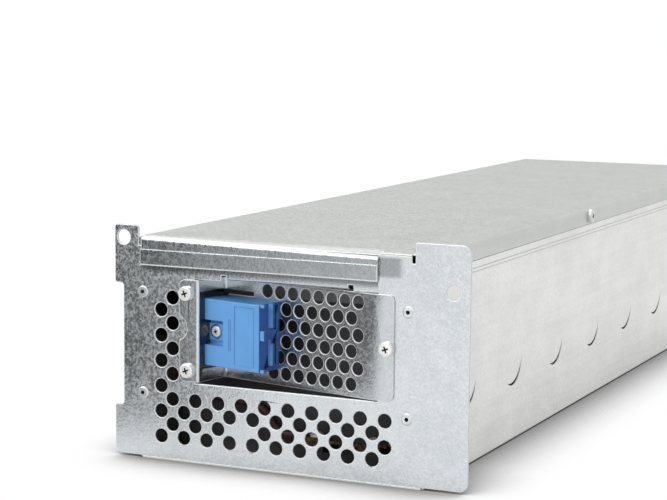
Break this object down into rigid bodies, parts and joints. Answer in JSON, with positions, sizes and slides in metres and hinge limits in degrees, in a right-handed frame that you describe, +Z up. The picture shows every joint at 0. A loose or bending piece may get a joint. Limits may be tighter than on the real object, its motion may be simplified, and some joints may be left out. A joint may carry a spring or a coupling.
{
  "type": "battery cartridge",
  "caption": "Long sheet-metal battery tray with lid, vented front plate with ears, and a recessed two-pole plug; slides into a power supply chassis.",
  "frame": {"origin": "centre of the bounding box's bottom, with the tray's flat underside at Z = 0", "axes": "+X across the front plate towards its right ear, seen from the front; +Y from the front plate to the rear panel; +Z up"},
  "size_m": [0.2058, 0.6284, 0.127],
  "materials": {
    "case_steel": "matt zinc-coated sheet",
    "cover_steel": "matt zinc-coated sheet, slightly darker",
    "plate_steel": "satin zinc-coated sheet, mottled",
    "blue_plastic": "moulded, slightly glossy",
    "plated_copper": "tin-plated copper",
    "screw_steel": "bright zinc-plated",
    "rivet_steel": "satin",
    "battery_case": "moulded case",
    "terminal_brass": "plain",
    "foam": "closed-cell foam",
    "liner_card": "smooth insulating card",
    "black_plastic": "moulded",
    "lead_red": "smooth insulation",
    "lead_black": "smooth insulation"
  },
  "bodies": {
    "root": {"base_tray": "case_steel", "rear_panel": "case_steel", "top_cover": "cover_steel", "front_plate": "plate_steel", "connector_pan": "plate_steel", "plug_housing": "blue_plastic", "plug_contact_lower": "plated_copper", "plug_contact_upper": "plated_copper", "plug_screw": "screw_steel", "plug_nut": "screw_steel", "pan_screws": "screw_steel", "cover_screws": "screw_steel", "front_rivets": "rivet_steel", "battery_block_1": "battery_case", "battery_block_2": "battery_case", "battery_block_3": "battery_case", "battery_block_4": "battery_case", "battery_block_5": "battery_case", "battery_block_6": "battery_case", "battery_block_7": "battery_case", "battery_block_8": "battery_case", "terminals_positive": "terminal_brass", "terminals_negative": "terminal_brass", "links_left": "plated_copper", "links_right": "plated_copper", "block_spacers": "foam", "floor_liner": "liner_card", "end_pad": "foam", "cover_insulation": "liner_card", "hold_down_foam": "foam", "side_foam": "foam", "fuse_holder": "black_plastic", "fuse_blade": "plated_copper", "fuse_bolts": "screw_steel", "lead_lugs": "plated_copper", "lead_red_front": "lead_red", "lead_red_rear": "lead_red", "lead_black": "lead_black"}
  },
  "joints": []
}
